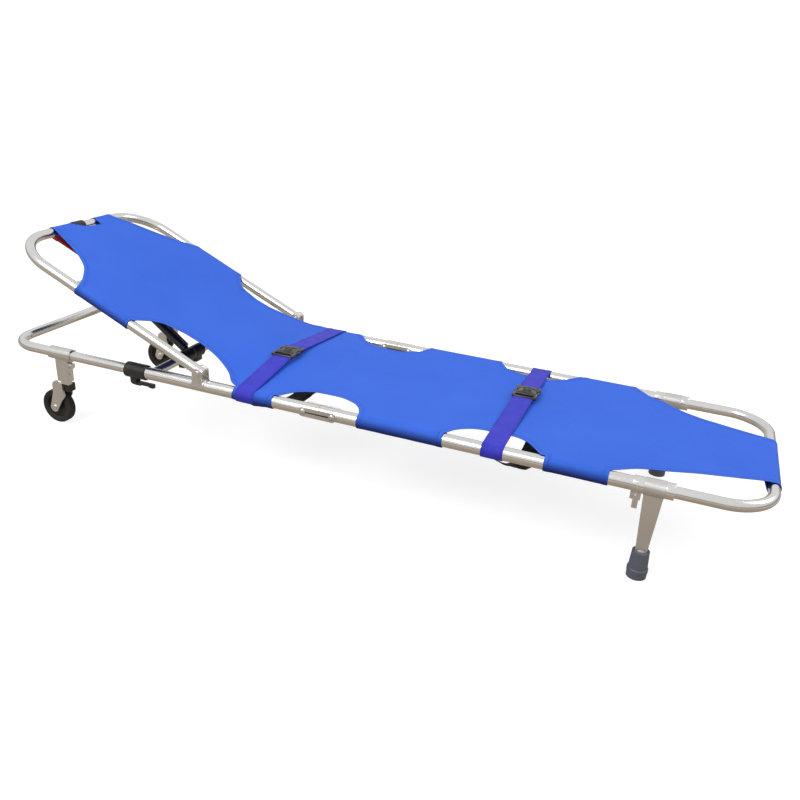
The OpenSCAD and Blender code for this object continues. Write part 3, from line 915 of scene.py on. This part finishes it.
def evenly(points, step):
    """The same line with points about step apart."""
    points = np.array(points, float)
    along = np.concatenate([[0], np.cumsum(np.linalg.norm(np.diff(points, axis=0), axis=1))])
    at = np.linspace(0, along[-1], max(3, round(along[-1] / step)))
    return np.stack([np.interp(at, along, points[:, k]) for k in range(points.shape[1])], axis=1)


def ribbon(name, line, look, body, start_long=0.0, creases=0.7):
    """Webbing whose middle follows a line of points."""
    line = evenly(line, 4)
    tangent = np.gradient(line, axis=0)
    tangent /= np.linalg.norm(tangent, axis=1)[:, None]
    over = np.cross(tangent, (0, 0, 1.0))
    over = np.where(np.abs(over[:, :1]) > 0.2, over, np.array([[1.0, 0, 0]]))
    over *= np.sign(over[:, :1])
    over /= np.linalg.norm(over, axis=1)[:, None]
    out = np.cross(over, tangent)
    share = np.linspace(-1, 1, 15)
    run = start_long + np.concatenate([[0], np.cumsum(np.linalg.norm(np.diff(line, axis=0), axis=1))])
    points = np.zeros((len(line), len(share), 3))
    uv = np.zeros((len(line), len(share), 2))
    for r in range(len(line)):
        for c, part in enumerate(share):
            wave = creases * noise.noise(Vector((run[r] / 26, part * 0.8, start_long)))
            curl = 0.35 * part ** 4
            points[r, c] = line[r] + over[r] * part * STRAP_W / 2 + out[r] * (wave - curl)
            uv[r, c] = (run[r], part * STRAP_W / 2)
    fabric = Fabric()
    fabric.grid(points, uv, np.full(uv.shape[:2], 99.0))
    piece, _ = fabric.finish(name, look, STRAP_T)
    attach(piece, body)
    return piece


def strap_over(x, side, buckle, radius):
    """Points of the strap from the bottom of one rail, round its outside and over the bed."""
    turns = np.radians(np.arange(180, -1, -10))
    rail = [(side * (SIDE_Y + radius * math.sin(t)), RAIL_Z + radius * math.cos(t)) for t in turns]
    edge = min(half_width(t, np.array(x)) for t in (HEAD_SCALLOP, FOOT_SCALLOP, HINGE_SCALLOP))
    reach = np.arange(0, float(edge), 8)
    clear = CLOTH_T / 2 + STRAP_T / 2 + STRAP_GAP
    bed = [(side * y, float(bed_height(x) + lift(x, side * y) + clear)) for y in reach]
    bar = (buckle[1] + side * BUCKLE_HALF, buckle[2] - BUCKLE_BAR_DROP)
    kept = [p for p in bed if side * p[0] > side * bar[0] + 6]
    hull = upper_hull([(side * p[0], p[1]) for p in (rail[-1], *kept, bar)])
    line = [(side * y, z) for y, z in hull][::-1]
    return [(x, y, z) for y, z in rail[:-1] + line]


def strap_under(x, drift, low, radius):
    """Points of the strap's slack lower run, from the far rail to the near one."""
    across = np.linspace(SIDE_Y, -SIDE_Y, 41)
    share = across / SIDE_Y
    height = low + (RAIL_Z - radius - low) * share ** 2
    return np.stack([x + drift * (1 - share ** 4), across, height], axis=1)


def rounded_box(mesh, low, high, radius, segments=3):
    """A box with rounded edges."""
    made = bmesh.ops.create_cube(mesh, size=1)["verts"]
    size, middle = np.subtract(high, low), np.add(low, high) / 2
    for v in made:
        v.co = Vector(np.array(v.co) * size + middle)
    edges = {e for v in made for e in v.link_edges}
    bmesh.ops.bevel(
        mesh, geom=list(edges), offset=radius, segments=segments, profile=0.5, affect="EDGES"
    )


def arched_plate(mesh, x_half, y_low, y_high, z, rise, thick):
    """A plate that bulges up in its middle, with rounded corners."""
    steps = 14
    rows = []
    for i in range(steps + 1):
        v = -1 + 2 * i / steps
        row = []
        for j in range(steps + 1):
            u = -1 + 2 * j / steps
            corner = 1 - 0.22 * v ** 6
            height = z + rise * (1 - u ** 2) * (1 - 0.8 * v ** 4)
            row.append((u * x_half * corner, (y_low + y_high) / 2 + v * (y_high - y_low) / 2, height))
        rows.append(row)
    top = [[mesh.verts.new(p) for p in row] for row in rows]
    base = [[mesh.verts.new((p[0], p[1], p[2] - thick)) for p in row] for row in rows]
    for i in range(steps):
        for j in range(steps):
            mesh.faces.new((top[i][j], top[i][j + 1], top[i + 1][j + 1], top[i + 1][j]))
            mesh.faces.new((base[i][j], base[i + 1][j], base[i + 1][j + 1], base[i][j + 1]))
    rim = [(0, j) for j in range(steps)] + [(i, steps) for i in range(steps)]
    rim += [(steps, j) for j in range(steps, 0, -1)] + [(i, 0) for i in range(steps, 0, -1)]
    for a, b in zip(rim, rim[1:] + rim[:1]):
        mesh.faces.new((top[a[0]][a[1]], base[a[0]][a[1]], base[b[0]][b[1]], top[b[0]][b[1]]))


def buckle_object(node, mesh, place, tilt, look, body):
    """Half a buckle at its place, in place of its CAD node."""
    name = f"{node}_body"
    bmesh.ops.recalc_face_normals(mesh, faces=mesh.faces)
    for face in mesh.faces:
        face.smooth = True
    turn = Matrix.Rotation(tilt, 4, "X")
    at = Matrix.Translation(Vector(to_frame(place)))
    mesh.transform(at @ turn @ Matrix.Scale(MM, 4))
    data = bpy.data.meshes.new(name)
    mesh.to_mesh(data)
    mesh.free()
    data.materials.append(look)
    data.set_sharp_from_angle(angle=SHARP)
    piece = bpy.data.objects.new(name, data)
    bpy.context.scene.collection.objects.link(piece)
    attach(piece, body)
    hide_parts(node)


def make_buckle(number, place, tilt, looks, body):
    """Side release buckle: a socket with two finger windows, and a plug with its prongs in them."""
    socket = bmesh.new()
    rounded_box(socket, (-29, -12, -5), (29, 10, -2.5), 1.0)
    arched_plate(socket, 24, -13, 17, 3, 4.5, 3.5)
    for side in (-1, 1):
        rounded_box(socket, (side * 27 - 4, -36, -5), (side * 27 + 4, -9, 4.5), 2.2)
        rounded_box(socket, (side * 23 - 5, -13, -5), (side * 23 + 5, -5, 5.2), 2.2)
        rounded_box(socket, (side * 25 - 4.5, 10, -5), (side * 25 + 4.5, 17, 5), 2.0)
    rounded_box(socket, (-28, -37, -4), (28, -31, 3), 2.4)
    rounded_box(socket, (-26, -22, -2), (26, -17, 5.0), 1.8)
    for groove in (-6, -1, 4):
        rounded_box(socket, (-10, groove, 6.6), (10, groove + 2, 8.2), 0.7, 2)
    buckle_object(f"buckle_{number}_socket", socket, place, tilt, looks["buckle"], body)
    plug = bmesh.new()
    rounded_box(plug, (-24, 17.6, -4.5), (24, 26, 4.5), 2.2)
    for side in (-1, 1):
        rounded_box(plug, (side * 27 - 3.5, 18, -4.5), (side * 27 + 3.5, 37, 4), 2.0)
        rounded_box(plug, (side * 29 - 3, -4, -3.2), (side * 29 + 3, 9, 3.2), 1.8)
        rounded_box(plug, (side * 17 - 3, 8, -2), (side * 17 + 3, 20, 1.6), 1.0)
    rounded_box(plug, (-28, 32, -3.5), (28, 37.5, 3), 2.3)
    arched_plate(plug, 19, 18, 30, 4.2, 2.4, 2)
    buckle_object(f"buckle_{number}_plug", plug, place, tilt, looks["buckle"], body)


def make_strap(number, x, buckle, radius, low, drift, looks, body):
    """One strap: near and far side over the bed, buckle, and slack lower run."""
    near = strap_over(x, -1, buckle, radius)
    far = strap_over(x, 1, buckle, radius)
    tilt = math.atan2(far[-1][2] - near[-1][2], far[-1][1] - near[-1][1])
    for side, line in (("near", near), ("far", far)):
        piece = ribbon(f"strap_{number}_{side}_webbing", line, looks["webbing"], body, 40.0 * number)
        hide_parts(f"strap_{number}_{side}")
    under = strap_under(x, drift, low, radius)
    # The lower run takes the near-black webbing: painted shade, not a different strap colour.
    slack = ribbon(f"strap_{number}_under_webbing", under, looks["shaded_webbing"], body, 7.0, 2.0)
    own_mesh(slack)
    make_buckle(number, buckle, tilt, looks, body)


# ---------------------------------------------------------------- the scene

make_camera()
make_room()
make_stage()
area_light("key", (-1.2, -2.6, 3.4), (0, 0, 0.2), 2.2, 70)
area_light("fill", (2.8, 1.2, 2.6), (0, 0, 0.2), 2.0, 25)
bpy.context.scene.view_settings.view_transform = "Standard"

looks = make_looks()
dress_nodes(looks)
make_back_cloth(looks)
make_middle_cloth(looks)
make_foot_cloth(looks)
make_strap(1, -198, (-200, -45, 264), RAIL_R + 3, 132, 25, looks, "head_half")
make_strap(2, 425, (427, 55, 243), RAIL_R + 1.2, 105, 42, looks, "foot_half")
